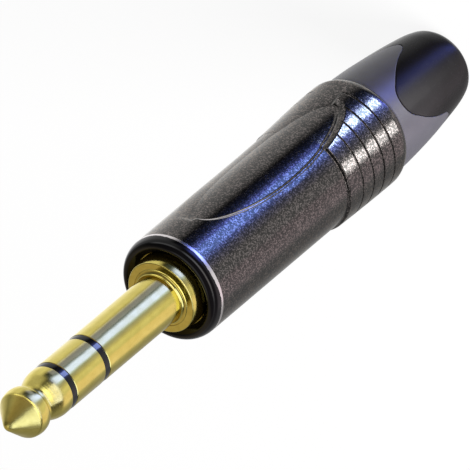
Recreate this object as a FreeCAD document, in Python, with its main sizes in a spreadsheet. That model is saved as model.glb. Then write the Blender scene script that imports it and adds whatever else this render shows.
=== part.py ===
import FreeCAD, Part
import math
import os
import re
import Sketcher

# A quarter inch stereo jack plug for a cable, standing on the flat rear end of its boot.
# The axis of the plug is Z and the tip points up. All sizes are millimetres.

# Driving sizes: each one can be changed by itself.
SIZES = (
    # Lengths along the plug, from the rear end to the tip
    ("boot_length", 16.85, "rear face of the boot to its shoulder behind the shell"),
    ("home_gap", 0.15, "gap that stays between pieces when the boot is screwed home"),
    ("shell_length", 39.9, "whole length of the shell"),
    ("shell_front_wall", 1.8, "wall in front of the seat of the contacts"),
    ("collar_length", 2.9, "seat in the shell to the front face of the collar"),
    ("finger_length", 31.1, "front face of the collar to the tip"),
    # Fits
    ("press_gap", 0.02, "radial gap of pieces pressed together"),
    ("fit_gap", 0.05, "radial gap of pieces that slide into the shell"),
    ("chuck_gap", 0.15, "radial gap round the chuck, which slides"),
    # Contact finger
    ("finger_radius", 3.175, "radius of the finger"),
    ("nose_radius", 0.62, "radius of the small round nose"),
    ("nose_rise", 0.25, "height of that nose's rounding"),
    ("cone_length", 3.75, "tip to the widest place of the head"),
    ("head_length", 4.75, "tip to the rear edge of the head"),
    ("head_edge_drop", 0.225, "how far the head's rear edge lies inside the finger's radius"),
    ("neck_drop", 0.875, "how far the neck behind the head lies inside it"),
    ("neck_place", 5.35, "tip to the middle of the neck"),
    ("flare_drop", 0.195, "how far the flare lies inside it where the flare turns steeper"),
    ("flare_place", 7.3, "tip to that place of the flare"),
    ("tip_land_place", 8.2, "tip to the start of the head's cylinder"),
    ("tip_length", 9.0, "tip to the first black ring"),
    ("black_ring_width", 0.95, "width of each black ring"),
    ("ring_width", 5.65, "width of the gold ring"),
    ("black_ring_drop", 0.03, "how far the black rings lie below the gold"),
    ("rod_radius", 0.9, "radius of the rod that runs through the finger"),
    ("tip_tube_wall", 0.45, "wall of the insulating tube on the rod"),
    ("ring_tube_wall", 0.45, "wall of the ring contact's tube"),
    ("ring_insulator_wall", 0.45, "wall of the insulating tube in the sleeve"),
    # Collar and base of the sleeve contact
    ("collar_step", 1.695, "how far the collar stands out from the finger"),
    ("collar_edge", 0.3, "rounding of the collar's front edge"),
    ("root_groove_width", 0.32, "width of the groove round the root of the finger"),
    ("root_groove_depth", 0.4, "depth of that groove"),
    ("root_groove_draft", 0.06, "how far the groove narrows to its floor"),
    ("flange_length", 2.0, "length of the base flange behind the seat"),
    ("lug_boss_wall", 1.07, "wall of the boss that carries the ground lug"),
    # Solder lugs and washers
    ("lug_sheet", 0.5, "thickness of the lugs"),
    ("lug_width", 2.2, "width of the tabs of the lugs"),
    ("lug_eye_radius", 0.55, "radius of the solder eyes"),
    ("lug_eye_inset", 1.2, "end of a tab to its solder eye"),
    ("ground_lug_gap", 0.25, "radial gap between the ground lug and the insulating sleeve"),
    ("ground_lug_length", 9.0, "length of the ground lug's tab"),
    ("ground_lug_turn", 90.0, "degrees from the panel's side of the shell to the ground lug"),
    ("ring_lug_land", 1.74, "width of the ring lug's flat ring"),
    ("ring_lug_length", 7.0, "length of the ring lug's tab"),
    ("ring_lug_turn", 210.0, "degrees from the panel's side to the ring lug"),
    ("tip_lug_land", 1.68, "width of the tip lug's flat ring"),
    ("tip_lug_length", 5.5, "length of the tip lug's tab"),
    ("tip_lug_turn", 330.0, "degrees from the panel's side to the tip lug"),
    ("washer_length", 1.2, "thickness of the insulating washers"),
    ("peen_land", 0.6, "how far the rod's peened end stands out from the rod"),
    ("peen_length", 0.6, "height of the rod's peened end"),
    ("peen_bevel", 0.3, "height of the bevel round that end"),
    # Shell
    ("collar_gap", 0.08, "radial gap between the collar and the shell"),
    ("seat_width", 0.55, "width of the ledge on which the contacts' base seats"),
    ("shell_wall", 1.33, "wall of the shell's plain part"),
    ("shell_lip", 0.2, "chamfer of the hole for the collar"),
    ("shell_nose_length", 2.0, "length of the rounding at the shell's front"),
    ("shell_nose_drop", 1.5, "how far that rounding drops"),
    ("grip_length", 12.4, "length of the ribbed part at the shell's rear"),
    ("grip_rise_length", 1.7, "length of the step up to the ribbed part"),
    ("grip_rise", 0.29, "how far the ribbed part steps up at its front"),
    ("grip_swell", 0.16, "how much further it swells to its largest radius"),
    ("grip_edge_length", 1.3, "length of the rounding at the shell's rear edge"),
    ("grip_edge_drop", 0.43, "how far that rounding drops"),
    ("groove_count", 4, "number of grooves in the ribbed part"),
    ("groove_inset", 3.0, "rear edge of the shell to the first groove"),
    ("groove_pitch", 2.13, "distance between grooves"),
    ("groove_width", 0.36, "width of a groove"),
    ("groove_depth", 0.26, "depth of the grooves below the largest radius"),
    # Oval panel in the shell
    ("panel_length", 27.7, "length of the oval panel"),
    ("panel_width", 7.7, "width of the oval panel"),
    ("panel_centre", 19.05, "rear edge of the shell to the middle of the panel"),
    ("panel_depth", 0.35, "depth of the panel below the shell's surface"),
    ("panel_rim", 0.22, "width of the shallow step round the panel"),
    ("panel_rim_depth", 0.12, "depth of that step"),
    # Thread between boot and shell, cut as plain cylinders here
    ("thread_step", 0.35, "how far the boot's thread stands out from the shell's inside"),
    ("thread_length", 8.0, "length of the boot's thread"),
    ("thread_runout", 1.0, "depth of the shell's threaded bore beyond the boot's thread"),
    ("thread_relief_length", 0.8, "length of the relief behind the boot's thread"),
    ("thread_edge", 0.4, "chamfer of the thread's ends"),
    # Insulating sleeve
    ("liner_wall", 0.45, "wall of the insulating sleeve"),
    # Chuck
    ("chuck_grip", 0.45, "how far the chuck's bore is narrower than the cable hole"),
    ("chuck_ring_length", 3.5, "length of the chuck's front ring"),
    ("chuck_neck_length", 3.4, "length of the thinner neck behind the ring"),
    ("chuck_neck_wall", 1.15, "wall of that neck"),
    ("jaw_shoulder_length", 1.6, "length of the step from the neck up to the jaws"),
    ("jaw_length", 6.0, "length of the tapered part of the jaws"),
    ("jaw_lead", 0.25, "how far the taper starts in front of the boot's thread"),
    ("jaw_rear_gap", 0.3, "gap behind the jaws"),
    ("gland_wall", 1.0, "wall of the boot's thread round the thick end of the jaws"),
    ("jaw_tip_wall", 0.8, "wall of the jaws at their rear end"),
    ("jaw_count", 4, "number of jaws"),
    ("jaw_slot", 0.9, "width of the slots between the jaws"),
    ("jaw_slot_length", 10.2, "length of the slots between the jaws"),
    ("key_count", 2, "number of keys on the chuck"),
    ("key_width", 1.2, "width of a key"),
    ("key_gap", 0.12, "gap between a key and the sides of its keyway"),
    ("key_ring_gap", 0.1, "radial gap between a key and the threaded bore"),
    # Boot
    ("cable_radius", 3.6, "radius of the boot's cable hole"),
    ("boot_step", 0.11, "how far the boot lies inside the shell's radius"),
    ("boot_taper_curve", 110.0, "radius of curvature of the long taper"),
    ("boot_turn_width", 0.47, "width of the curve between taper and rounded end"),
    ("boot_turn_curve", 14.0, "radius of curvature between taper and rounded end"),
    ("boot_end_width", 0.98, "width of the rounded end"),
    ("boot_end_curve", 2.3, "radius of curvature of the rounded end"),
    ("boot_face_width", 0.35, "width of the flat rear face round the cable hole"),
    ("boot_taper_end", 3.3, "rear face to the end of the taper"),
    ("boot_turn_place", 1.3, "rear face to the start of the rounded end"),
    ("cover_end", 2.0, "thickness of the soft rear end"),
    ("cover_wall", 1.25, "thickness of the soft cover over the core"),
    ("jaw_seat_gap", 0.1, "gap between the chuck's jaws and their seat"),
    # Petals of the hard part and tongues of the soft part
    ("petal_count", 3, "number of petals"),
    ("petal_clocking", 15.0, "degrees from the panel to the first petal"),
    ("tongue_start", 0.9, "distance from the axis at which the cuts for the tongues start"),
    ("tongue_overlap", 0.3, "degrees by which neighbouring cuts overlap below the petals"),
    ("tongue_nose", 1.95, "boot's shoulder to the nose of a tongue"),
    ("tongue_round", 1.45, "length of the round nose of a tongue"),
    ("tongue_round_angle", 20.3, "half the tongue's angle where its round nose ends"),
    ("tongue_side_length", 6.6, "length of a tongue's straight sides"),
    ("tongue_side_angle", 50.0, "half the tongue's angle where its straight sides end"),
    ("petal_tip_length", 0.95, "length of the round tip of a petal"),
)

# Places along the axis and fits, worked out from the driving sizes.
PLACES = {
    "shell_rear": "boot_length + home_gap",
    "shell_front": "shell_rear + shell_length",
    "seat": "shell_front - shell_front_wall",
    "collar_face": "seat + collar_length",
    "tip": "collar_face + finger_length",
    "tip_rear": "tip - tip_length",
    "ring_front": "tip_rear - black_ring_width",
    "ring_rear": "ring_front - ring_width",
    "sleeve_front": "ring_rear - black_ring_width",
    "flange_rear": "seat - flange_length",
    "washer_front": "flange_rear - lug_sheet",
    "ring_lug_front": "washer_front - washer_length",
    "ring_washer_front": "ring_lug_front - lug_sheet",
    "tip_lug_front": "ring_washer_front - washer_length",
    "tip_lug_rear": "tip_lug_front - lug_sheet",
    "head_edge_radius": "finger_radius - head_edge_drop",
    "neck_radius": "finger_radius - neck_drop",
    "flare_radius": "finger_radius - flare_drop",
    "black_radius": "finger_radius - black_ring_drop",
    "tip_tube_bore": "rod_radius + press_gap",
    "tip_tube_radius": "tip_tube_bore + tip_tube_wall",
    "ring_bore": "tip_tube_radius + press_gap",
    "ring_tube_radius": "ring_bore + ring_tube_wall",
    "ring_insulator_bore": "ring_tube_radius + press_gap",
    "ring_insulator_radius": "ring_insulator_bore + ring_insulator_wall",
    "sleeve_bore": "ring_insulator_radius + press_gap",
    "collar_radius": "finger_radius + collar_step",
    "collar_hole": "collar_radius + collar_gap",
    "cavity_radius": "collar_hole + seat_width",
    "shell_radius": "cavity_radius + shell_wall",
    "flange_radius": "cavity_radius - fit_gap",
    "lug_boss_radius": "sleeve_bore + lug_boss_wall",
    "peen_radius": "rod_radius + peen_land",
    "tip_lug_radius": "tip_tube_bore + tip_lug_land",
    "ring_lug_radius": "ring_insulator_bore + ring_lug_land",
    "ground_lug_radius": "liner_radius - liner_wall - ground_lug_gap",
    "nose_edge": "shell_radius - shell_nose_drop",
    "grip_front_radius": "shell_radius + grip_rise",
    "grip_radius": "grip_front_radius + grip_swell",
    "groove_radius": "grip_radius - groove_depth",
    "thread_radius": "cavity_radius + thread_step",
    "bore_depth": "thread_length + thread_runout - home_gap",
    "bore_front": "shell_rear + bore_depth",
    "bore_radius": "thread_radius + fit_gap",
    "grip_front": "shell_rear + grip_length",
    "grip_middle": "grip_front - grip_rise_length / 2",
    "grip_crest": "grip_front - grip_rise_length",
    "grip_edge": "shell_rear + grip_edge_length",
    "thread_front": "boot_length + thread_length",
    "boot_front_radius": "shell_radius - boot_step",
    "boot_end_radius": "cable_radius + boot_face_width",
    "boot_turn_radius": "boot_end_radius + boot_end_width",
    "boot_taper_radius": "boot_turn_radius + boot_turn_width",
    "core_front_radius": "boot_front_radius - cover_wall",
    "core_rear_radius": "boot_taper_radius - cover_wall",
    "chuck_bore": "cable_radius - chuck_grip",
    "chuck_neck_radius": "chuck_bore + chuck_neck_wall",
    "jaw_tip_radius": "chuck_bore + jaw_tip_wall",
    "jaw_front_radius": "thread_radius - gland_wall",
    "jaw_rear": "thread_front - jaw_length + jaw_lead",
    "jaw_front": "jaw_rear + jaw_length",
    "jaw_slope": "(jaw_front_radius - jaw_tip_radius) / jaw_length",
    "neck_rear": "jaw_front + jaw_shoulder_length",
    "chuck_ring_rear": "neck_rear + chuck_neck_length",
    "chuck_front": "chuck_ring_rear + chuck_ring_length",
    "chuck_radius": "cavity_radius - chuck_gap",
    "key_radius": "bore_radius - key_ring_gap",
    "liner_rear": "chuck_front + home_gap",
    "liner_radius": "cavity_radius - fit_gap",
    "seat_rear": "jaw_rear - jaw_rear_gap",
    "nose_place": "boot_length - tongue_nose",
    "round_place": "nose_place - tongue_round",
    "side_place": "round_place - tongue_side_length",
    "petal_end": "side_place - petal_tip_length",
}

FULL_TURN = 360

DOCUMENT = FreeCAD.newDocument("jack_plug")
SHEET = DOCUMENT.addObject("Spreadsheet::Sheet", "Sizes")
DRIVING = {name for name, size, note in SIZES}


def fill_sheet():
    """Write every driving size with its name and note into the sheet."""
    for row, (name, size, note) in enumerate(SIZES, start=1):
        SHEET.set("A%d" % row, name)
        SHEET.set("B%d" % row, str(size))
        SHEET.set("C%d" % row, note)
        SHEET.setAlias("B%d" % row, name)
    DOCUMENT.recompute()


def formula(text):
    """Turn names of sizes and places into an expression on the sheet."""
    def swap(match):
        word = match.group(0)
        if word in PLACES:
            return "(" + formula(PLACES[word]) + ")"
        if word in DRIVING:
            return "Sizes." + word
        return word
    return re.sub(r"[A-Za-z_]+", swap, text)


def number(text):
    """Give the value of a formula for the sizes that are in the sheet now."""
    return float(SHEET.evalExpression(formula(text)))


def tie(thing, prop, text):
    """Bind a property of an object to a formula."""
    thing.setExpression(prop, formula(text))


def rise_curve(length, drop):
    """Radius of an arc that leaves a straight line smoothly and drops over a length."""
    return "((%s)^2 + (%s)^2) / (2 * (%s))" % (length, drop, drop)


def new_body(label):
    """Make an empty body with the label that names its file."""
    body = DOCUMENT.addObject("PartDesign::Body", label)
    body.Label = label
    return body


def new_sketch(body, role, name, lift=None):
    """Attach a sketch to one of the body's own origin planes, lifted off it if asked."""
    sketch = body.newObject("Sketcher::SketchObject", name)
    plane = [item for item in body.Origin.OriginFeatures if item.Role == role][0]
    sketch.AttachmentSupport = [(plane, "")]
    sketch.MapMode = "FlatFace"
    if lift is not None:
        tie(sketch, "AttachmentOffset.Base.z", lift)
    return sketch


def arc_between(start, end, radius, turn):
    """Give an arc from start to end that bends left or right as it goes."""
    chord = end - start
    middle = start + chord * 0.5
    left = FreeCAD.Vector(-chord.y, chord.x, 0).normalize()
    reach = math.sqrt(max(radius ** 2 - (chord.Length / 2) ** 2, 0))
    side = 1 if turn == "left" else -1
    centre = middle + left * (side * reach)
    first, last = (start, end) if turn == "left" else (end, start)
    angles = [math.atan2(spot.y - centre.y, spot.x - centre.x) for spot in (first, last)]
    if angles[1] < angles[0]:
        angles[1] += 2 * math.pi
    circle = Part.Circle(centre, FreeCAD.Vector(0, 0, 1), radius)
    return Part.ArcOfCircle(circle, angles[0], angles[1])


def place_point(sketch, piece, end, along, text):
    """Tie one coordinate of a point to a formula: along is X or Y."""
    size = number(text)
    if abs(size) < 1e-9:
        axis = -2 if along == "X" else -1
        sketch.addConstraint(Sketcher.Constraint("PointOnObject", piece, end, axis))
        return
    index = sketch.addConstraint(Sketcher.Constraint("Distance" + along, -1, 1, piece, end, size))
    tie(sketch, "Constraints[%d]" % index, text)


def outline(sketch, corners):
    """Draw a closed outline through the corners, each tied to the sizes.

    A corner is its two formulas. With a radius and a turn after them, the stretch
    from it to the next corner is an arc.
    """
    spots = [FreeCAD.Vector(number(corner[0]), number(corner[1]), 0) for corner in corners]
    stretches = []
    for index, corner in enumerate(corners):
        here = spots[index]
        there = spots[(index + 1) % len(spots)]
        if len(corner) == 2:
            piece = sketch.addGeometry(Part.LineSegment(here, there), False)
            stretches.append((piece, 1, 2))
            continue
        piece = sketch.addGeometry(arc_between(here, there, number(corner[2]), corner[3]), False)
        ends = (1, 2) if corner[3] == "left" else (2, 1)
        stretches.append((piece,) + ends)
    for index, (piece, start, end) in enumerate(stretches):
        following, begin, finish = stretches[(index + 1) % len(stretches)]
        sketch.addConstraint(Sketcher.Constraint("Coincident", piece, end, following, begin))
    for corner, (piece, start, end) in zip(corners, stretches):
        place_point(sketch, piece, start, "X", corner[0])
        place_point(sketch, piece, start, "Y", corner[1])
        if len(corner) > 2:
            index = sketch.addConstraint(Sketcher.Constraint("Radius", piece, number(corner[2])))
            tie(sketch, "Constraints[%d]" % index, corner[2])


def ring_in(sketch, radii):
    """Draw concentric circles about the sketch's origin."""
    for text in radii:
        circle = Part.Circle(FreeCAD.Vector(0, 0, 0), FreeCAD.Vector(0, 0, 1), number(text))
        piece = sketch.addGeometry(circle, False)
        sketch.addConstraint(Sketcher.Constraint("Coincident", piece, 3, -1, 1))
        index = sketch.addConstraint(Sketcher.Constraint("Radius", piece, number(text)))
        tie(sketch, "Constraints[%d]" % index, text)


def turned(body, name, corners, kind="PartDesign::Revolution"):
    """Turn an outline of radius and height about the plug's axis."""
    sketch = new_sketch(body, "XZ_Plane", name + "_outline")
    outline(sketch, corners)
    feature = body.newObject(kind, name)
    feature.Profile = sketch
    feature.ReferenceAxis = (sketch, ["V_Axis"])
    feature.Angle = FULL_TURN
    DOCUMENT.recompute()
    return feature


def tube(body, name, inner, outer, rear, front):
    """Turn a plain tube between two heights."""
    return turned(body, name, ((inner, rear), (outer, rear), (outer, front), (inner, front)))


def polar_pattern(body, original, name, count, sketch, axis):
    """Repeat a feature round the plug's axis, given as an axis of a sketch."""
    pattern = body.newObject("PartDesign::PolarPattern", name)
    pattern.Originals = [original]
    pattern.Axis = (sketch, [axis])
    pattern.Angle = FULL_TURN
    tie(pattern, "Occurrences", count)
    body.Tip = pattern
    DOCUMENT.recompute()
    return pattern


def circular_edges(shape, height, radius):
    """Names of the round edges about the axis at a height and with a radius."""
    found = []
    for index, edge in enumerate(shape.Edges, start=1):
        curve = edge.Curve
        if curve.TypeId != "Part::GeomCircle":
            continue
        same_height = abs(curve.Center.z - number(height)) < 1e-4
        if same_height and abs(curve.Radius - number(radius)) < 1e-4:
            found.append("Edge%d" % index)
    return found


def dress_edges(body, base, name, kind, places, size):
    """Fillet or chamfer round edges, each given by its height and radius."""
    names = []
    for height, radius in places:
        names += circular_edges(base.Shape, height, radius)
    feature = body.newObject(kind, name)
    feature.Base = (base, names)
    tie(feature, "Radius" if kind == "PartDesign::Fillet" else "Size", size)
    DOCUMENT.recompute()
    return feature


def make_tip_contact():
    """Head with its nose, cone, neck and flare, and the rod with its peened end."""
    body = new_body("tip_contact")
    head_round = rise_curve("head_length - cone_length", "finger_radius - head_edge_radius")
    turned(body, "tip_turning", (
        ("0", "tip_lug_rear - peen_length"),
        ("rod_radius", "tip_lug_rear - peen_length"),
        ("peen_radius", "tip_lug_rear - peen_length + peen_bevel"),
        ("peen_radius", "tip_lug_rear"),
        ("rod_radius", "tip_lug_rear"),
        ("rod_radius", "tip_rear"),
        ("finger_radius", "tip_rear"),
        ("finger_radius", "tip - tip_land_place"),
        ("flare_radius", "tip - flare_place"),
        ("neck_radius", "tip - neck_place"),
        ("neck_radius", "tip - head_length"),
        ("head_edge_radius", "tip - head_length", head_round, "left"),
        ("finger_radius", "tip - cone_length"),
        ("nose_radius", "tip - nose_rise", rise_curve("nose_radius", "nose_rise"), "left"),
        ("0", "tip"),
    ))
    return body


def make_tip_insulator():
    """First black ring with its tube over the rod."""
    body = new_body("tip_insulator")
    turned(body, "tip_insulator_turning", (
        ("tip_tube_bore", "ring_washer_front"),
        ("tip_tube_radius", "ring_washer_front"),
        ("tip_tube_radius", "ring_front"),
        ("black_radius", "ring_front"),
        ("black_radius", "tip_rear"),
        ("tip_tube_bore", "tip_rear"),
    ))
    return body


def make_ring_contact():
    """Gold ring with its tube back to the ring's lug."""
    body = new_body("ring_contact")
    turned(body, "ring_turning", (
        ("ring_bore", "ring_washer_front"),
        ("ring_tube_radius", "ring_washer_front"),
        ("ring_tube_radius", "ring_rear"),
        ("finger_radius", "ring_rear"),
        ("finger_radius", "ring_front"),
        ("ring_bore", "ring_front"),
    ))
    return body


def make_ring_insulator():
    """Second black ring with its tube inside the sleeve."""
    body = new_body("ring_insulator")
    turned(body, "ring_insulator_turning", (
        ("ring_insulator_bore", "ring_lug_front"),
        ("ring_insulator_radius", "ring_lug_front"),
        ("ring_insulator_radius", "sleeve_front"),
        ("black_radius", "sleeve_front"),
        ("black_radius", "ring_rear"),
        ("ring_insulator_bore", "ring_rear"),
    ))
    return body


def make_sleeve_contact():
    """Sleeve of the finger, collar with its root groove, base flange and lug boss."""
    body = new_body("sleeve_contact")
    base = turned(body, "sleeve_turning", (
        ("sleeve_bore", "washer_front"),
        ("lug_boss_radius", "washer_front"),
        ("lug_boss_radius", "flange_rear"),
        ("flange_radius", "flange_rear"),
        ("flange_radius", "seat"),
        ("collar_radius", "seat"),
        ("collar_radius", "collar_face"),
        ("finger_radius + root_groove_width", "collar_face"),
        ("finger_radius + root_groove_width", "collar_face - root_groove_depth"),
        ("finger_radius + root_groove_draft", "collar_face - root_groove_depth"),
        ("finger_radius", "collar_face"),
        ("finger_radius", "sleeve_front"),
        ("sleeve_bore", "sleeve_front"),
    ))
    dress_edges(body, base, "collar_rounding", "PartDesign::Fillet",
                (("collar_face", "collar_radius"),), "collar_edge")
    return body


def make_lug(label, outer, inner, front, length, turn):
    """Stamped solder lug: a flat ring with one tab bent to the rear, rounded and pierced."""
    body = new_body(label)
    ring_sketch = new_sketch(body, "XY_Plane", label + "_ring_sketch", "-lug_sheet")
    ring_in(ring_sketch, (outer, inner))
    ring = body.newObject("PartDesign::Pad", label + "_ring")
    ring.Profile = ring_sketch
    tie(ring, "Length", "lug_sheet")
    DOCUMENT.recompute()
    half = "lug_width / 2"
    end = "-(%s)" % length
    round_start = "%s + %s" % (end, half)
    tab_sketch = new_sketch(body, "XZ_Plane", label + "_tab_sketch", outer + " - lug_sheet")
    outline(tab_sketch, (
        ("-" + half, "0"),
        ("-" + half, round_start, half, "left"),
        ("0", end, half, "left"),
        (half, round_start),
        (half, "0"),
    ))
    tab = body.newObject("PartDesign::Pad", label + "_tab")
    tab.Profile = tab_sketch
    tie(tab, "Length", "lug_sheet")
    DOCUMENT.recompute()
    eye_sketch = new_sketch(body, "XZ_Plane", label + "_eye_sketch", outer)
    height = "%s + lug_eye_inset" % end
    centre = FreeCAD.Vector(0, number(height), 0)
    circle = Part.Circle(centre, FreeCAD.Vector(0, 0, 1), number("lug_eye_radius"))
    piece = eye_sketch.addGeometry(circle, False)
    place_point(eye_sketch, piece, 3, "X", "0")
    place_point(eye_sketch, piece, 3, "Y", height)
    index = eye_sketch.addConstraint(Sketcher.Constraint("Radius", piece, circle.Radius))
    tie(eye_sketch, "Constraints[%d]" % index, "lug_eye_radius")
    eye = body.newObject("PartDesign::Pocket", label + "_eye")
    eye.Profile = eye_sketch
    tie(eye, "Length", "lug_sheet")
    DOCUMENT.recompute()
    tie(body, "Placement.Rotation.Angle", turn)
    tie(body, "Placement.Base.z", front)
    return body


def make_washer(label, outer, inner, front):
    """Insulating washer between two lugs."""
    body = new_body(label)
    tube(body, label + "_turning", inner, outer, "%s - washer_length" % front, front)
    return body


def make_insulating_sleeve():
    """Plastic tube round the lugs, from the base flange to the chuck."""
    body = new_body("insulating_sleeve")
    inner = "liner_radius - liner_wall"
    tube(body, "liner_turning", inner, "liner_radius", "liner_rear", "flange_rear")
    return body


def make_shell_casting():
    """Shell with its nose, ribbed rear, threaded bore and keyways, still without the panel."""
    body = DOCUMENT.addObject("PartDesign::Body", "shell_casting")
    rise = "(grip_front_radius - shell_radius) / 2"
    rise_round = rise_curve("grip_rise_length / 2", rise)
    barrel = rise_curve("grip_crest - grip_edge", "grip_radius - grip_front_radius")
    edge_round = rise_curve("grip_edge_length", "grip_edge_drop")
    casting = turned(body, "shell_turning", (
        ("bore_radius", "shell_rear"),
        ("grip_radius - grip_edge_drop", "shell_rear", edge_round, "left"),
        ("grip_radius", "grip_edge", barrel, "left"),
        ("grip_front_radius", "grip_crest", rise_round, "left"),
        ("shell_radius + " + rise, "grip_middle", rise_round, "right"),
        ("shell_radius", "grip_front"),
        ("shell_radius", "shell_front - shell_nose_length",
         rise_curve("shell_nose_length", "shell_nose_drop"), "left"),
        ("nose_edge", "shell_front"),
        ("collar_hole + shell_lip", "shell_front"),
        ("collar_hole", "shell_front - shell_lip"),
        ("collar_hole", "seat"),
        ("cavity_radius", "seat"),
        ("cavity_radius", "bore_front"),
        ("bore_radius", "bore_front"),
    ))
    dress_edges(body, casting, "bore_lead_in", "PartDesign::Chamfer",
                (("shell_rear", "bore_radius"),), "thread_edge")
    groove_height = "shell_rear + groove_inset"
    groove = turned(body, "groove", (
        ("groove_radius + groove_width / 2", groove_height + " - groove_width / 2"),
        ("grip_radius + groove_width", groove_height + " - groove_width / 2"),
        ("grip_radius + groove_width", groove_height + " + groove_width / 2"),
        ("groove_radius + groove_width / 2", groove_height + " + groove_width / 2",
         "groove_width / 2", "left"),
        ("groove_radius", groove_height, "groove_width / 2", "left"),
    ), "PartDesign::Groove")
    grooves = body.newObject("PartDesign::LinearPattern", "grooves")
    grooves.Originals = [groove]
    grooves.Direction = (groove.Profile[0], ["V_Axis"])
    tie(grooves, "Length", "groove_pitch * (groove_count - 1)")
    tie(grooves, "Occurrences", "groove_count")
    body.Tip = grooves
    DOCUMENT.recompute()
    way = new_sketch(body, "XY_Plane", "keyway_sketch", "bore_front")
    half = "key_width / 2 + key_gap"
    outline(way, (
        ("-(%s)" % half, "0"),
        (half, "0"),
        (half, "bore_radius"),
        ("-(%s)" % half, "bore_radius"),
    ))
    keyway = body.newObject("PartDesign::Pocket", "keyway")
    keyway.Profile = way
    keyway.Reversed = True
    tie(keyway, "Length", "liner_rear - bore_front")
    DOCUMENT.recompute()
    polar_pattern(body, keyway, "keyways", "key_count", way, "N_Axis")
    return body


def cut_oval(name, base, margin, depth):
    """Cut an oval into a shell to a depth, with a floor that follows the shell's roundness."""
    oval = DOCUMENT.addObject("Part::Ellipse", name + "_outline")
    tie(oval, "MajorRadius", "panel_length / 2 + " + margin)
    tie(oval, "MinorRadius", "panel_width / 2 + " + margin)
    along = FreeCAD.Vector(0, 0, 1)
    across = FreeCAD.Vector(1, 0, 0)
    outward = FreeCAD.Vector(0, -1, 0)
    oval.Placement = FreeCAD.Placement(FreeCAD.Vector(), FreeCAD.Rotation(along, across, outward))
    tie(oval, "Placement.Base.z", "shell_rear + panel_centre")
    prism = DOCUMENT.addObject("Part::Extrusion", name + "_prism")
    prism.Base = oval
    prism.DirMode = "Custom"
    prism.Dir = outward
    prism.Solid = True
    tie(prism, "LengthFwd", "grip_radius + shell_radius")
    floor = DOCUMENT.addObject("Part::Cylinder", name + "_floor")
    tie(floor, "Radius", "shell_radius - " + depth)
    tie(floor, "Height", "shell_front")
    cutter = DOCUMENT.addObject("Part::Cut", name + "_cutter")
    cutter.Base = prism
    cutter.Tool = floor
    result = DOCUMENT.addObject("Part::Cut", name + "_cut")
    result.Base = base
    result.Tool = cutter
    DOCUMENT.recompute()
    return result


def make_shell():
    """Cut the oval panel into the casting, with a shallow step round it."""
    stepped = cut_oval("rim", make_shell_casting(), "panel_rim", "panel_rim_depth")
    shell = cut_oval("panel", stepped, "0", "panel_depth")
    shell.Label = "shell"
    return shell


def make_chuck():
    """Slotted collet: keyed front ring, neck, and jaws that taper to the rear."""
    body = new_body("chuck")
    turned(body, "chuck_turning", (
        ("chuck_bore", "jaw_rear"),
        ("jaw_tip_radius", "jaw_rear"),
        ("jaw_front_radius", "jaw_front"),
        ("chuck_neck_radius", "neck_rear"),
        ("chuck_neck_radius", "chuck_ring_rear"),
        ("chuck_radius", "chuck_ring_rear"),
        ("chuck_radius", "chuck_front"),
        ("chuck_bore", "chuck_front"),
    ))
    half = "jaw_slot / 2"
    slot_sketch = new_sketch(body, "XZ_Plane", "jaw_slot_sketch")
    outline(slot_sketch, (
        ("-" + half, "jaw_rear"),
        (half, "jaw_rear"),
        (half, "jaw_rear + jaw_slot_length", half, "left"),
        ("0", "jaw_rear + jaw_slot_length + jaw_slot / 2", half, "left"),
        ("-" + half, "jaw_rear + jaw_slot_length"),
    ))
    slot = body.newObject("PartDesign::Pocket", "jaw_slot")
    slot.Profile = slot_sketch
    slot.Reversed = True
    tie(slot, "Length", "chuck_radius")
    DOCUMENT.recompute()
    polar_pattern(body, slot, "jaw_slots", "jaw_count", slot_sketch, "V_Axis")
    key_sketch = new_sketch(body, "XY_Plane", "key_sketch", "chuck_ring_rear")
    half_key = "key_width / 2"
    middle = "(chuck_bore + chuck_radius) / 2"
    outline(key_sketch, (
        ("-" + half_key, middle),
        (half_key, middle),
        (half_key, "key_radius"),
        ("-" + half_key, "key_radius"),
    ))
    key = body.newObject("PartDesign::Pad", "key")
    key.Profile = key_sketch
    tie(key, "Length", "chuck_ring_length")
    DOCUMENT.recompute()
    polar_pattern(body, key, "keys", "key_count", key_sketch, "N_Axis")
    return body


def boot_skin(body, name):
    """Turn the outer layer of the boot, from its shoulder to its flat rear face."""
    return turned(body, name, (
        ("core_front_radius", "boot_length"),
        ("core_rear_radius", "cover_end"),
        ("cable_radius", "cover_end"),
        ("cable_radius", "0"),
        ("boot_end_radius", "0", "boot_end_curve", "left"),
        ("boot_turn_radius", "boot_turn_place", "boot_turn_curve", "left"),
        ("boot_taper_radius", "boot_taper_end", "boot_taper_curve", "left"),
        ("boot_front_radius", "boot_length"),
    ))


def tongue_section(body, name, distance):
    """Draw a tongue's outline at a distance from the axis, so that its sides run radially."""
    sketch = new_sketch(body, "XZ_Plane", name, distance)
    reach = "(%s)" % distance
    middle = reach + " * tan(180 / petal_count + tongue_overlap)"
    side = reach + " * tan(tongue_side_angle)"
    rounded = reach + " * tan(tongue_round_angle)"
    nose_curve = rise_curve(rounded, "tongue_round")
    tip_curve = rise_curve("%s - %s" % (middle, side), "petal_tip_length")
    below = "-home_gap"
    outline(sketch, (
        ("-" + middle, below),
        (middle, below),
        (middle, "petal_end", tip_curve, "right"),
        (side, "side_place"),
        (rounded, "round_place", nose_curve, "left"),
        ("0", "nose_place", nose_curve, "left"),
        ("-" + rounded, "round_place"),
        ("-" + side, "side_place", tip_curve, "right"),
        ("-" + middle, "petal_end"),
    ))
    return sketch


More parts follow.
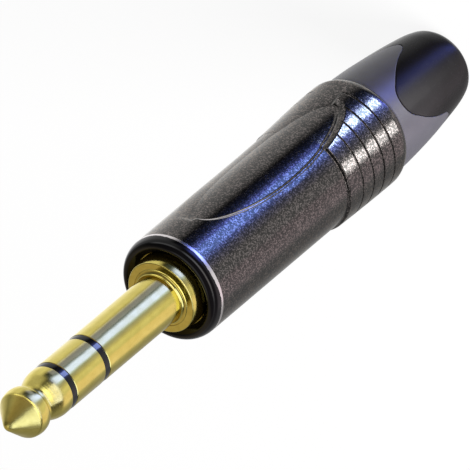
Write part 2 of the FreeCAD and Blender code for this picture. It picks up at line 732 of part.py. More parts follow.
def make_boot_gland():
    """Hard part of the boot: petals outside, core with thread, jaw seat and cable hole inside."""
    body = new_body("boot_gland")
    boot_skin(body, "petal_skin")
    near = tongue_section(body, "tongue_near", "tongue_start")
    far = tongue_section(body, "tongue_far", "boot_front_radius + cover_wall")
    tongue = body.newObject("PartDesign::SubtractiveLoft", "tongue")
    tongue.Profile = near
    tongue.Sections = [far]
    tongue.Ruled = True
    DOCUMENT.recompute()
    polar_pattern(body, tongue, "tongues", "petal_count", near, "V_Axis")
    relief_front = "boot_length + thread_relief_length"
    seat_front = "jaw_tip_radius + jaw_seat_gap + (thread_front - jaw_rear) * jaw_slope"
    seat_back = "jaw_tip_radius + jaw_seat_gap + (seat_rear - jaw_rear) * jaw_slope"
    turned(body, "core", (
        ("cable_radius", "cover_end"),
        ("core_rear_radius", "cover_end"),
        ("core_front_radius", "boot_length"),
        ("core_front_radius", relief_front),
        ("thread_radius - thread_edge", relief_front),
        ("thread_radius", relief_front + " + thread_edge"),
        ("thread_radius", "thread_front - thread_edge"),
        ("thread_radius - thread_edge", "thread_front"),
        (seat_front, "thread_front"),
        (seat_back, "seat_rear"),
        ("cable_radius", "seat_rear"),
    ))
    tie(body, "Placement.Rotation.Angle", "petal_clocking + 180 / petal_count")
    return body


def make_boot_cover(gland):
    """Soft part of the boot: the outer layer wherever the hard part leaves it free."""
    blank = DOCUMENT.addObject("PartDesign::Body", "cover_blank")
    boot_skin(blank, "cover_skin")
    cover = DOCUMENT.addObject("Part::Cut", "boot_cover")
    cover.Base = blank
    cover.Tool = gland
    cover.Label = "boot_cover"
    DOCUMENT.recompute()
    return cover


def build_parts():
    """Make every piece of the plug, from the tip to the boot."""
    gland = make_boot_gland()
    return [
        make_tip_contact(),
        make_tip_insulator(),
        make_ring_contact(),
        make_ring_insulator(),
        make_sleeve_contact(),
        make_lug("ground_terminal", "ground_lug_radius", "lug_boss_radius + press_gap",
                 "flange_rear", "ground_lug_length", "ground_lug_turn"),
        make_washer("sleeve_washer", "ground_lug_radius - lug_sheet - press_gap",
                    "sleeve_bore", "washer_front"),
        make_lug("ring_terminal", "ring_lug_radius", "ring_insulator_bore",
                 "ring_lug_front", "ring_lug_length", "ring_lug_turn"),
        make_washer("ring_washer", "ring_lug_radius - lug_sheet - press_gap",
                    "tip_tube_bore", "ring_washer_front"),
        make_lug("tip_terminal", "tip_lug_radius", "tip_tube_bore",
                 "tip_lug_front", "tip_lug_length", "tip_lug_turn"),
        make_insulating_sleeve(),
        make_shell(),
        make_chuck(),
        gland,
        make_boot_cover(gland),
    ]


def check_document():
    """Stop if any object failed, before a file is written."""
    for thing in DOCUMENT.Objects:
        failed = [word for word in thing.State if word in ("Invalid", "Error")]
        if failed:
            raise RuntimeError("%s is %s" % (thing.Name, failed))


def write_parts(parts):
    """Write each piece to its own file, once its shape is known to be whole."""
    for part in parts:
        shape = part.Shape
        if shape.isNull() or not shape.isValid():
            raise RuntimeError(part.Label + " has no valid shape")
    os.makedirs("parts", exist_ok=True)
    for part in parts:
        part.Shape.exportStep("parts/%s.step" % part.Label)
        print("%-18s %d solid, %8.2f mm3" % (part.Label, len(part.Shape.Solids), part.Shape.Volume))


fill_sheet()
PARTS = build_parts()
DOCUMENT.recompute()
check_document()
write_parts(PARTS)
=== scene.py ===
# %% [markdown]
# # A stereo jack plug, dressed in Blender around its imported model
# The plug stands on the flat rear end of its boot, with the tip up, and its axis is Z.
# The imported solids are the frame: they say where everything is, and this script gives
# each of them the finish and the fine edges that the real plug has.
# Loading comes first, because every later piece is placed by what it gives.

# %% Load the frame
import math
import bmesh
import bpy
import numpy as np
from mathutils import Matrix, Vector


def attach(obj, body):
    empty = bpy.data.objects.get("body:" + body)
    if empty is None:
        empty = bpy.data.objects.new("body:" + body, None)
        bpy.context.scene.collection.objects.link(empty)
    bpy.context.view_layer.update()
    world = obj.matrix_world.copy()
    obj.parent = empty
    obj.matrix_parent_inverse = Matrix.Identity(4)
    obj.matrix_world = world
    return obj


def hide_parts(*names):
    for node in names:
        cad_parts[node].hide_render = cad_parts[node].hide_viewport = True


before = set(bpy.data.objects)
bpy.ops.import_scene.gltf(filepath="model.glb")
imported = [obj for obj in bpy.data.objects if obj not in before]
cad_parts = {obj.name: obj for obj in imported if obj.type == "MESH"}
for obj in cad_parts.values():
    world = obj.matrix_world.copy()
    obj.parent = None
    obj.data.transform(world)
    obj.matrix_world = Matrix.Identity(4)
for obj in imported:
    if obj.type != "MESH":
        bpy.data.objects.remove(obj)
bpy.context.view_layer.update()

MM = 0.001

# %% [markdown]
# ## The view
# A product shot of something this small is taken from far away with a long lens, so the
# sides of the plug stay nearly parallel. Here the lens is a metre long and stands two and
# a half metres away, 42 degrees above the floor, and the camera is rolled until the tip
# points down to the left.
# Three directions describe the view: the axis, the way from the axis towards the
# camera, and the way across. Lamps and reflections are placed by the same three.

# %% Directions of the view
ELEVATION = math.radians(41.75)
TOWARDS = Vector((-0.656, -0.755, 0)).normalized()
AXIS = Vector((0, 0, 1))
ACROSS = Vector((-TOWARDS.y, TOWARDS.x, 0))
TO_CAMERA = AXIS * math.sin(ELEVATION) + TOWARDS * math.cos(ELEVATION)
print("to the camera:", [round(v, 3) for v in TO_CAMERA])

# %% Camera
VIEW_WIDTH = 55.14 * MM
LENS = 1.0
SENSOR = 21.6 * MM
ROLL_COS, ROLL_SIN = 0.76456, 0.64456
AIM = AXIS * (42.6 * MM)

up_the_axis = (AXIS - TO_CAMERA * AXIS.dot(TO_CAMERA)).normalized()
right = -up_the_axis * ROLL_COS - ACROSS * ROLL_SIN
upward = -up_the_axis * ROLL_SIN + ACROSS * ROLL_COS
lens = bpy.data.cameras.new("camera")
lens.lens = LENS / MM
lens.sensor_width = SENSOR / MM
camera = bpy.data.objects.new("camera", lens)
distance = VIEW_WIDTH * LENS / SENSOR
turned = Matrix((right, upward, TO_CAMERA)).transposed().to_4x4()
camera.matrix_world = Matrix.Translation(AIM + TO_CAMERA * distance) @ turned
lens.clip_start = 0.01
lens.clip_end = 100
bpy.context.scene.collection.objects.link(camera)
bpy.context.scene.camera = camera
bpy.context.scene.view_settings.view_transform = "Standard"
print("camera distance in m:", round(distance, 3))

# %% [markdown]
# ## Nodes from Python
# Node trees get long when every link is typed out. One small class wraps a socket and
# lets it be used in sums, and each sum adds its Math node. A second class makes any
# other node from its type, its settings and the values of its sockets.
# The same two serve for materials, the world and Geometry Nodes.


# %% Sockets that can be used in sums
def pick(sockets, key):
    """Find a socket by its number, its identifier or its name."""
    if isinstance(key, int):
        return sockets[key]
    for word in ("identifier", "name"):
        for socket in sockets:
            if getattr(socket, word) == key:
                return socket
    raise KeyError(key)


class Value:
    """An output socket that takes part in Python arithmetic."""

    def __init__(self, graph, socket):
        self.graph, self.socket = graph, socket

    def other(self, key):
        return Value(self.graph, pick(self.socket.node.outputs, key))

    def __add__(self, term):
        return self.graph.maths("ADD", self, term)

    def __sub__(self, term):
        return self.graph.maths("SUBTRACT", self, term)

    def __rsub__(self, term):
        return self.graph.maths("SUBTRACT", term, self)

    def __mul__(self, term):
        return self.graph.maths("MULTIPLY", self, term)

    def __truediv__(self, term):
        return self.graph.maths("DIVIDE", self, term)

    __radd__ = __add__
    __rmul__ = __mul__


class Graph:
    """The nodes of one tree."""

    def __init__(self, tree):
        self.tree = tree

    def node(self, kind, settings=None, inputs=None, out=0):
        made = self.tree.nodes.new(kind)
        for name, value in (settings or {}).items():
            if name == "stops":
                ramp = made.color_ramp.elements
                while len(ramp) < len(value):
                    ramp.new(1)
                for stop, (place, colour) in zip(ramp, value):
                    stop.position = place
                    stop.color = (*colour, 1)
            else:
                setattr(made, name, value)
        for key, value in (inputs or {}).items():
            socket = pick(made.inputs, key)
            if isinstance(value, Value):
                self.tree.links.new(value.socket, socket)
            else:
                socket.default_value = value
        return Value(self, pick(made.outputs, out)) if made.outputs else made

    def maths(self, operation, *terms):
        return self.node("ShaderNodeMath", {"operation": operation}, dict(enumerate(terms)))

    def step(self, value, low, high):
        """0 at low, 1 at high and smooth between, also where low is the larger."""
        return self.node("ShaderNodeMapRange", {"interpolation_type": "SMOOTHSTEP"},
                         {"Value": value, "From Min": low, "From Max": high})

    def blend(self, share, first, second):
        """Mix two colours."""
        return self.node("ShaderNodeMix", {"data_type": "RGBA"},
                         {"Factor_Float": share, "A_Color": first, "B_Color": second},
                         "Result_Color")


print("node helpers are ready")

# %% [markdown]
# ## Stage and light
# Small shiny things are lit by what they mirror. Real plugs are photographed in a ring
# of white cloth with a blue window strip and a black card, and the metal shows all three.
# The world can be that ring: a ramp of brightness round the axis, seen by glossy rays
# only. Camera rays see plain white, and soft white light falls on matt surfaces.
# The ring has tiers, because the straight sides of the plug mirror what is low, and the
# rounded nose of the shell and the flat faces mirror what is high.


# %% The ring of cloth round the plug
def ring_stops(places):
    """Turn angles from the camera's side into places on a ramp."""
    return [((angle + 180) / 360, colour) for angle, colour in places]


def grey(level):
    return (level, level, level)


TINT = 6.0
SOFT_LIGHT = 0.2
WHITE = (1, 1, 1, 1)
WINDOW = (0.185, 0.25, 1.05)
LOW_TIER = (
    (-180, grey(0.08)), (-122, grey(0.06)), (-110, grey(0.07)), (-98, grey(0.095)),
    (-88, (0.180, 0.160, 0.166)), (-56, (0.182, 0.161, 0.167)), (-47, grey(0.145)),
    (-32, grey(0.158)), (-24, grey(0.13)), (-14, (0.095, 0.098, 0.13)),
    (-5, (0.08, 0.09, 0.15)), (2, (0.12, 0.16, 0.42)), (8, WINDOW), (27, WINDOW),
    (36, (0.06, 0.08, 0.26)), (43, (0.01, 0.015, 0.04)), (62, grey(0.003)),
    (72, grey(0.09)), (83, grey(0.15)), (104, grey(0.155)), (128, grey(0.20)),
    (152, grey(0.20)), (180, grey(0.22)),
)
LEVEL_TIER = (
    (-180, grey(0.07)), (-100, grey(0.03)), (-70, grey(0.01)), (40, grey(0.01)),
    (60, grey(0.09)), (120, grey(0.10)), (180, grey(0.12)),
)
ARC_TIER = (
    (-180, grey(0.08)), (-100, grey(0.06)), (-74, grey(0.12)), (-60, grey(0.34)),
    (-30, (0.60, 0.56, 0.52)), (6, (0.60, 0.60, 0.62)), (28, (0.40, 0.42, 0.46)),
    (42, grey(0.10)), (60, grey(0.30)), (92, grey(0.28)), (106, grey(0.03)),
    (135, grey(0.04)), (180, grey(0.09)),
)
HIGH_TIER = (
    (-180, (0.09, 0.075, 0.055)), (-125, (0.07, 0.06, 0.045)), (-105, grey(0.012)),
    (110, grey(0.012)), (140, (0.04, 0.035, 0.027)), (180, (0.09, 0.075, 0.055)),
)
CEILING = ((-180, grey(0.15)), (0, grey(0.16)), (180, grey(0.15)))
# each tier is reached from the one below between two heights of the ray
TIERS = ((-0.36, -0.16, LEVEL_TIER), (0.04, 0.12, ARC_TIER), (0.24, 0.32, HIGH_TIER),
         (0.88, 0.95, CEILING))

world = bpy.data.worlds.new("studio")
bpy.context.scene.world = world
world.use_nodes = True
world.node_tree.nodes.clear()
sky = Graph(world.node_tree)
ray = sky.node("ShaderNodeTexCoord", out="Generated")
parts = sky.node("ShaderNodeSeparateXYZ", inputs={0: ray})
east, north, height = parts, parts.other("Y"), parts.other("Z")
forward = east * TOWARDS.x + north * TOWARDS.y
sideways = east * ACROSS.x + north * ACROSS.y
angle = sky.maths("ARCTAN2", sideways, forward) / math.tau + 0.5
ring = sky.node("ShaderNodeValToRGB", {"stops": ring_stops(LOW_TIER)}, {0: angle})
for foot, head, tier in TIERS:
    above = sky.node("ShaderNodeValToRGB", {"stops": ring_stops(tier)}, {0: angle})
    ring = sky.blend(sky.step(height, foot, head), ring, above)
mirrored = sky.node("ShaderNodeBackground", inputs={"Color": ring, "Strength": TINT})
plain = sky.node("ShaderNodeBackground", inputs={"Color": WHITE, "Strength": SOFT_LIGHT})
white = sky.node("ShaderNodeBackground", inputs={"Color": WHITE, "Strength": 1})
rays = sky.node("ShaderNodeLightPath", out="Is Camera Ray")
lit = sky.node("ShaderNodeMixShader",
               inputs={0: rays.other("Is Glossy Ray"), 1: plain, 2: mirrored})
seen = sky.maths("MAXIMUM", rays, rays.other("Is Transmission Ray"))
shown = sky.node("ShaderNodeMixShader", inputs={0: seen, 1: lit, 2: white})
sky.node("ShaderNodeOutputWorld", inputs={"Surface": shown})
print("tiers of the ring:", 1 + len(TIERS))

# %% [markdown]
# The floor is a plain pale sheet. Camera rays see most of its white directly, so it
# melts into the background, and a part of it is an ordinary matt surface that keeps the
# plug's shadow. To the plug itself the floor isn't there, as if it stood on a table of
# clear glass: the ring of cloth and the cards shine through from below.

# %% Floor
FLOOR_HALF = 4.0
SHADOW_SHARE = 0.13
GLOW = 1.04
floor_mesh = bpy.data.meshes.new("floor")
floor_mesh.from_pydata([(x * FLOOR_HALF, y * FLOOR_HALF, 0) for x, y in
                        ((-1, -1), (1, -1), (1, 1), (-1, 1))], [], [(0, 1, 2, 3)])
floor = bpy.data.objects.new("floor", floor_mesh)
bpy.context.scene.collection.objects.link(floor)
floor_paint = bpy.data.materials.new("floor_sheet")
floor_paint.use_nodes = True
floor_paint.node_tree.nodes.clear()
sheet = Graph(floor_paint.node_tree)
matt = sheet.node("ShaderNodeBsdfDiffuse", inputs={"Color": (0.9, 0.9, 0.9, 1)})
glow = sheet.node("ShaderNodeEmission", inputs={"Color": WHITE, "Strength": GLOW})
both = sheet.node("ShaderNodeMixShader", inputs={0: SHADOW_SHARE, 1: glow, 2: matt})
camera_ray = sheet.node("ShaderNodeLightPath", out="Is Camera Ray")
laid = sheet.node("ShaderNodeMixShader", inputs={0: camera_ray, 1: matt, 2: both})
sheet.node("ShaderNodeOutputMaterial", inputs={"Surface": laid})
floor_mesh.materials.append(floor_paint)
floor.visible_glossy = False
floor.visible_diffuse = False
floor.visible_shadow = False
print("floor laid")

# %% [markdown]
# One broad lamp on the right-hand side shades the matt boot. The others are cards, seen
# in reflections only: strips for the ribs, the barrel and the black rings, broader ones
# for the boot, and a few round the gold, which would look brown in front of black cloth.
# Light linking gives each card its own list of receivers, as flags do in a real studio.


# %% Lamps
LAMP_AIM = AXIS * (30 * MM)
LAMP_REACH = 0.8


def lamp(name, turn, tilt, width, height, colour, watts):
    """An area lamp at an angle round the plug and above the floor, aimed at the plug."""
    turn, tilt = math.radians(turn), math.radians(tilt)
    flat = TOWARDS * math.cos(turn) + ACROSS * math.sin(turn)
    place = LAMP_AIM + (flat * math.cos(tilt) + AXIS * math.sin(tilt)) * LAMP_REACH
    data = bpy.data.lights.new(name, "AREA")
    data.shape = "RECTANGLE"
    data.size, data.size_y = width, height
    data.color = colour
    data.energy = watts
    made = bpy.data.objects.new(name, data)
    made.matrix_world = Matrix.Translation(place) @ (
        (place - LAMP_AIM).to_track_quat("Z", "Y").to_matrix().to_4x4())
    made.visible_camera = False
    bpy.context.scene.collection.objects.link(made)
    return made


side_lamp = lamp("side_lamp", -48, 22, 0.5, 0.5, (1, 0.98, 0.98), 12.5)
side_lamp.visible_glossy = False
SKY_BLUE = (0.66, 0.88, 1.0)
CARDS = (  # name, turn, tilt, width, height, colour, watts, receivers
    ("window_strip", 20, -39, 0.18, 0.36, SKY_BLUE, 3.4, "ribs_only"),
    ("sky_strip", 17, -39, 0.25, 0.36, (0.45, 1, 0.85), 0.30, "barrel_only"),
    ("cloth_strip", -38, -39, 0.20, 0.36, (1, 1, 1), 2.05, "ribs_only"),
    ("grey_card", 57, -41, 0.34, 0.36, (0.28, 0.32, 1.0), 0.41, "gold_only"),
    ("flare_card", -24, -3, 1.3, 0.22, (0.43, 0.47, 1.0), 2.9, "gold_only"),
    ("cone_card", -50, 36, 1.1, 0.40, (0.53, 0.60, 1.0), 4.2, "gold_only"),
    ("fill_card", 50, 34, 1.1, 0.50, (1.0, 0.75, 0.5), 0.35, "gold_only"),
    ("boot_card", -22, -50, 0.34, 0.30, (1, 0.97, 1), 1.0, "petals_only"),
    ("cover_card", -42, -42, 1.2, 0.36, (1, 0.96, 1), 4.6, "tongues_only"),
    ("ridge_card", -12, -42, 0.5, 0.36, (1, 0.98, 1), 3.4, "tongues_only"),
    ("ring_strip", 17, -39, 0.25, 0.36, (0.40, 0.52, 1.0), 4.2, "bands_only"),
)
groups = sorted({card[-1] for card in CARDS})
receivers = {name: bpy.data.collections.new(name) for name in groups}
for *setup, group in CARDS:
    card = lamp(*setup)
    card.visible_diffuse = False
    card.light_linking.receiver_collection = receivers[group]
print("lamps:", [item.name for item in bpy.data.lights])

# %% [markdown]
# ## Finishes
# Every finish is a small node tree on Object coordinates, in metres, so its grain has a
# real size: 6000 waves a metre is a grain of a sixth of a millimetre.


# %% A finish and its grain
class Finish(Graph):
    """A material with one Principled shader at its end."""

    def __init__(self, name):
        self.material = bpy.data.materials.new(name)
        self.material.use_nodes = True
        self.material.node_tree.nodes.clear()
        super().__init__(self.material.node_tree)
        self.place = self.node("ShaderNodeTexCoord", out="Object")

    def noise(self, scale, detail=2.0, stretch=(1, 1, 1)):
        """Noise from 0 to 1, finer by the scale and squeezed along the axes by the stretch."""
        spot = self.node("ShaderNodeMapping", {"vector_type": "POINT"},
                         {"Vector": self.place, "Scale": stretch})
        return self.node("ShaderNodeTexNoise", {"noise_dimensions": "3D"},
                         {"Vector": spot, "Scale": scale, "Detail": detail})

    def spread(self, value, low, high):
        """Stretch noise, which stays near its middle, to a range of numbers."""
        return self.node("ShaderNodeMapRange", {"clamp": True},
                         {"Value": value, "From Min": 0.3, "From Max": 0.7,
                          "To Min": low, "To Max": high})

    def bump(self, height, microns):
        """A normal tilted by a height that reaches this many thousandths of a millimetre."""
        return self.node("ShaderNodeBump", None,
                         {"Strength": 1.0, "Distance": microns * 1e-6, "Height": height})

    def close(self, **inputs):
        """Set the shader's sockets, named with underscores for spaces, and end the tree."""
        named = {key.replace("_", " "): value for key, value in inputs.items()}
        shader = self.node("ShaderNodeBsdfPrincipled", None, named)
        self.node("ShaderNodeOutputMaterial", None, {"Surface": shader})
        print("finish", self.material.name, "has", len(self.tree.nodes), "nodes")
        return self.material


# %% [markdown]
# **Gold plate.** The finger is turned from brass on a lathe and gold plated. The plate
# is thin, so the tool's rings stay in it: they are noise squeezed hard along the axis.
# The roughness varies a little too, where sockets have polished it. The head of the tip
# was shaped last, with a coarser feed: its flare is duller, and its cone duller still.

# %% Gold plate
gold = Finish("gold_plate")
rings = gold.noise(1.0, 3.0, (300, 300, 9000))
wipe = gold.noise(1300, 3.0, (1, 1, 0.5))
tone = gold.blend(gold.spread(wipe, 0, 1), (0.71, 0.60, 0.155, 1), (0.62, 0.515, 0.12, 1))
FLARE_FROM, FLARE_TO, CONE_FROM, CONE_TO = 80.4, 81.6, 85.9, 86.6
height = gold.node("ShaderNodeSeparateXYZ", None, {0: gold.place}, "Z") / MM
flare = gold.step(height, FLARE_FROM, FLARE_TO) * 0.07
cone = flare + gold.step(height, CONE_FROM, CONE_TO) * 0.13
GOLD = gold.close(Base_Color=tone, Metallic=1.0,
                  Roughness=gold.spread(wipe, 0.09, 0.15) + cone,
                  Normal=gold.bump(rings + wipe * 2.0, 6.0))

# %% [markdown]
# **Black rings.** The insulating rings are hard glossy plastic, turned together with the
# metal, so they carry the same rings, only fainter.

# %% Black insulator
black = Finish("black_insulator")
rings = black.noise(1.0, 2.0, (260, 260, 14000))
cloud = black.noise(900)
BLACK = black.close(Base_Color=black.blend(black.spread(cloud, 0, 1),
                                           (0.004, 0.004, 0.005, 1), (0.009, 0.008, 0.008, 1)),
                    Roughness=black.spread(cloud, 0.06, 0.12), IOR=1.34,
                    Normal=black.bump(rings, 2.0))

# %% [markdown]
# **Shell coat.** The shell is die-cast metal, blasted with fine grit and coated in black
# chrome. Each pit of a seventh of a millimetre mirrors for itself, so the coat looks
# like dark lacquer full of sparks. Here every cell of a Voronoi texture is a pit: some
# of them are metal, the rest dark lacquer, and a bump tilts them.
# The polished front ring of the shell was masked while the rest was blasted. Its outer
# edge is worn down to bare metal, which noise breaks up. The panel has a worn edge as
# well: the nodes that cut the panel also write an attribute that says where it is.


# %% Shell coat
def shell_coat(name, rough, grain_microns):
    """Black chrome over blasted metal, which shows in the pits and on sharp edges."""
    coat = Finish(name)
    grain = coat.noise(5200, 2.0)
    pits = coat.node("ShaderNodeTexVoronoi", {"feature": "F1"},
                     {"Vector": coat.place, "Scale": 7000, "Randomness": 1.0}, "Color")
    pit = coat.node("ShaderNodeSeparateColor", None, {0: pits})
    cloud = coat.noise(260, 3.0)
    bare = coat.step(pit + grain * 0.5, 0.80, 0.92)
    edge = coat.node("ShaderNodeAttribute", {"attribute_name": "edge"}, None, "Fac")
    metal = coat.blend(pit.other("Green"), (0.09, 0.08, 0.079, 1), (0.21, 0.188, 0.18, 1))
    flake = coat.blend(bare, (0.002, 0.0017, 0.002, 1), metal)
    return coat.close(Base_Color=coat.blend(edge, flake, (0.66, 0.64, 0.66, 1)),
                      Metallic=coat.maths("MAXIMUM", bare, edge),
                      Roughness=(pit.other("Green") * 0.06
                                 + coat.spread(cloud, rough, rough + 0.03)),
                      IOR=1.50, Specular_Tint=(1.0, 0.96, 0.90, 1),
                      Normal=coat.bump(grain + pit.other("Blue") * 0.6, grain_microns))


SHELL = shell_coat("shell_coat", 0.08, 2.6)
GRIP = shell_coat("grip_coat", 0.13, 1.8)


WORN_EDGE = 55.2


def nose_coat():
    """Polished black chrome with a worn edge where the blasted part begins."""
    coat = Finish("nose_coat")
    height = coat.node("ShaderNodeSeparateXYZ", None, {0: coat.place}, "Z")
    broken = coat.noise(2200, 3.0)
    edge = height / MM + coat.spread(broken, -0.04, 0.04)
    patches = coat.noise(130, 1.0)
    worn = coat.step(edge + (patches - 0.5) * 0.9, WORN_EDGE + 0.05, WORN_EDGE - 0.05)
    return coat.close(Base_Color=coat.blend(worn, (0.003, 0.0025, 0.003, 1),
                                            (0.72, 0.68, 0.68, 1)),
                      Metallic=worn, Roughness=worn * 0.14 + coat.spread(broken, 0.05, 0.09),
                      IOR=1.36, Normal=coat.bump(broken, 2.0))


NOSE = nose_coat()

# %% [markdown]
# **Boot.** The hard petals are glass-filled plastic from a spark-eroded mould: matt,
# grey with a violet cast, and finely pitted. The soft tongues are thermoplastic rubber,
# nearly black, with a softer grain. Both scatter light, so their sheen is broad.

# %% Hard and soft plastic of the boot
hard = Finish("boot_hard")
pits = hard.noise(7500, 3.0)
cloud = hard.noise(300, 3.0)
HARD = hard.close(Base_Color=hard.blend(hard.spread(cloud, 0, 1),
                                        (0.088, 0.085, 0.106, 1), (0.106, 0.102, 0.124, 1)),
                  Roughness=hard.spread(pits, 0.32, 0.42), IOR=1.52,
                  Normal=hard.bump(pits, 8.0))
soft = Finish("boot_soft")
pits = soft.noise(5200, 3.0)
cloud = soft.noise(260, 3.0)
SOFT = soft.close(Base_Color=soft.blend(soft.spread(cloud, 0, 1),
                                        (0.009, 0.008, 0.0085, 1), (0.014, 0.0125, 0.0135, 1)),
                  Roughness=soft.spread(pits, 0.21, 0.28), IOR=1.16,
                  Normal=soft.bump(pits, 8.0))

# %% [markdown]
# **Inside.** The solder lugs are tinned brass, the washers are laminated board, and the
# liner and the chuck are moulded plastic. They show only when the boot is screwed
# back or through the cable hole, but each still gets its own grain.


# %% Finishes of the inner parts
def inner_finish(name, light, dark, scale, rough, microns, metal=0.0, stretch=(1, 1, 1)):
    inner = Finish(name)
    grain = inner.noise(scale, 3.0, stretch)
    share = inner.spread(grain, 0, 1)
    return inner.close(Base_Color=inner.blend(share, (*dark, 1), (*light, 1)),
                       Metallic=metal,
                       Roughness=inner.spread(grain, rough, rough + 0.12),
                       Normal=inner.bump(grain, microns))


TIN = inner_finish("tinned_lug", (0.78, 0.76, 0.72), (0.58, 0.56, 0.53), 1900, 0.22, 3, 1.0)
BOARD = inner_finish("washer_board", (0.50, 0.31, 0.16), (0.36, 0.20, 0.10), 1.0, 0.5, 6,
                     stretch=(900, 900, 6000))
LINER = inner_finish("liner_plastic", (0.66, 0.66, 0.63), (0.56, 0.56, 0.54), 800, 0.3, 4)
CHUCK = inner_finish("chuck_plastic", (0.73, 0.73, 0.70), (0.62, 0.62, 0.60), 1500, 0.38, 5)
INNER = {"ground_terminal": TIN, "ring_terminal": TIN, "tip_terminal": TIN,
         "sleeve_washer": BOARD, "ring_washer": BOARD,
         "insulating_sleeve": LINER, "chuck": CHUCK}
for name, paint in INNER.items():
    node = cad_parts[name]
    node.data.materials.clear()
    node.data.materials.append(paint)
print("inner nodes painted:", len(INNER))

# %% [markdown]
# ## Turned pieces
# The finger is five pieces on one axis. Each is an outline of radius and height, turned
# round the axis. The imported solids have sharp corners, and real edges never are: they
# are broken by a tenth of a millimetre, and that thin curve is what catches the light.
# So each corner may carry a rounding, and the outline is then turned in 192 steps.


# %% Outlines with rounded corners
def arc_points(start, end, radius, count=12):
    """Points on an arc from start to end that bulges to the right of the way up."""
    start, end = np.array(start, float), np.array(end, float)
    chord = end - start
    span = np.linalg.norm(chord)
    reach = math.sqrt(max(radius ** 2 - (span / 2) ** 2, 0))
    centre = (start + end) / 2 + np.array((-chord[1], chord[0])) / span * reach
    first = math.atan2(*(start - centre)[::-1])
    sweep = 2 * math.asin(min(span / 2 / radius, 1))
    turns = first + np.linspace(0, sweep, count)
    return [tuple(centre + radius * np.array((math.cos(t), math.sin(t)))) for t in turns]


def rounded(corners, steps=5):
    """Round the corners of a closed outline: each is radius, height and rounding."""
    points = []
    for index, corner in enumerate(corners):
        here = np.array(corner[:2], float)
        rounding = corner[2] if len(corner) > 2 else 0
        if not rounding:
            points.append(tuple(here))
            continue
        before = np.array(corners[index - 1][:2], float) - here
        after = np.array(corners[(index + 1) % len(corners)][:2], float) - here
        cut = min(rounding, 0.45 * np.linalg.norm(before), 0.45 * np.linalg.norm(after))
        first = here + before / np.linalg.norm(before) * cut
        last = here + after / np.linalg.norm(after) * cut
        for share in np.linspace(0, 1, steps):
            bend = first * (1 - share) ** 2 + here * 2 * share * (1 - share) + last * share ** 2
            points.append(tuple(bend))
    return points


SIDES = 192


def turned_mesh(name, outline):
    """Turn a closed outline in millimetres into a closed mesh in metres."""
    turns = np.arange(SIDES) * math.tau / SIDES
    vertices, rings = [], []
    for radius, height in outline:
        if radius < 1e-6:
            rings.append([len(vertices)] * SIDES)
            vertices.append((0, 0, height * MM))
            continue
        rings.append(list(range(len(vertices), len(vertices) + SIDES)))
        vertices += [(radius * math.cos(t) * MM, radius * math.sin(t) * MM, height * MM)
                     for t in turns]
    faces = []
    for here, there in zip(rings, rings[1:] + rings[:1]):
        for side in range(SIDES):
            after = (side + 1) % SIDES
            corners = (here[side], here[after], there[after], there[side])
            face = tuple(dict.fromkeys(corners))
            if len(face) > 2:
                faces.append(face)
    mesh = bpy.data.meshes.new(name)
    mesh.from_pydata(vertices, [], faces)
    return mesh


SHARP_FROM = math.radians(38)
LIT_BY = ((GOLD, "gold_only"), (HARD, "petals_only"), (SOFT, "tongues_only"),
          (BLACK, "bands_only"), (SHELL, "barrel_only"), (GRIP, "ribs_only"))


def settle(mesh):
    """Turn the faces outwards and shade the mesh smooth up to its sharp edges."""
    shape = bmesh.new()
    shape.from_mesh(mesh)
    bmesh.ops.recalc_face_normals(shape, faces=shape.faces)
    if shape.calc_volume(signed=True) < 0:
        bmesh.ops.reverse_faces(shape, faces=shape.faces)
    open_edges = sum(1 for edge in shape.edges if len(edge.link_faces) != 2)
    shape.to_mesh(mesh)
    shape.free()
    mesh.shade_smooth()
    mesh.set_sharp_from_angle(angle=SHARP_FROM)
    return open_edges


def piece(name, mesh, body, paint, stands_for):
    """Put a finished mesh in the scene on its body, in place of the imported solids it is."""
    open_edges = settle(mesh)
    made = bpy.data.objects.new(name, mesh)
    bpy.context.scene.collection.objects.link(made)
    mesh.materials.clear()
    mesh.materials.append(paint)
    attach(made, body)
    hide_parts(*stands_for)
    for finish, group in LIT_BY:
        if paint == finish:
            receivers[group].objects.link(made)
    triangles = sum(len(face.vertices) - 2 for face in mesh.polygons)
    print(name, "has", triangles, "triangles and", open_edges, "open edges")


# %% [markdown]
# The head of the tip is a cone with a small round nose, a rounded widest place, a neck
# that the spring of the socket drops into, and a flare back to the full width.

# %% Tip contact
FINGER = 3.175
TIP, TIP_REAR = 89.1, 80.1
RING_FRONT, RING_REAR, SLEEVE_FRONT = 79.15, 73.5, 72.55
ROD = 0.9
head = [(ROD, 48.6, 0.1), (1.5, 48.9, 0.1), (1.5, 49.2, 0.05), (ROD, 49.2), (ROD, TIP_REAR),
        (FINGER, TIP_REAR, 0.07), (FINGER, 80.9, 0.3), (3.04, 81.7, 0.5),
        (2.62, 82.8, 0.5), (2.3, 83.5, 0.4), (2.3, 84.15, 0.12), (2.82, 84.15, 0.14),
        (3.03, 84.5, 0.2), (FINGER, 85.25, 0.5), (3.0, 86.2, 0.25),
        (0.66, 88.80, 0.28), (0.30, 89.06, 0.12), (0, TIP)]
outline = [(0, 48.6)] + rounded(head)
piece("tip_head", turned_mesh("tip_head", outline), "plug_body", GOLD,
      ("tip_contact",))

# %% [markdown]
# The two black rings have long tubes that run inside the sleeve, and the gold ring
# between them has one too. The rings lie three hundredths below the gold, and the gold
# behind each has a fine bevel, so that it slides past the springs of the socket.

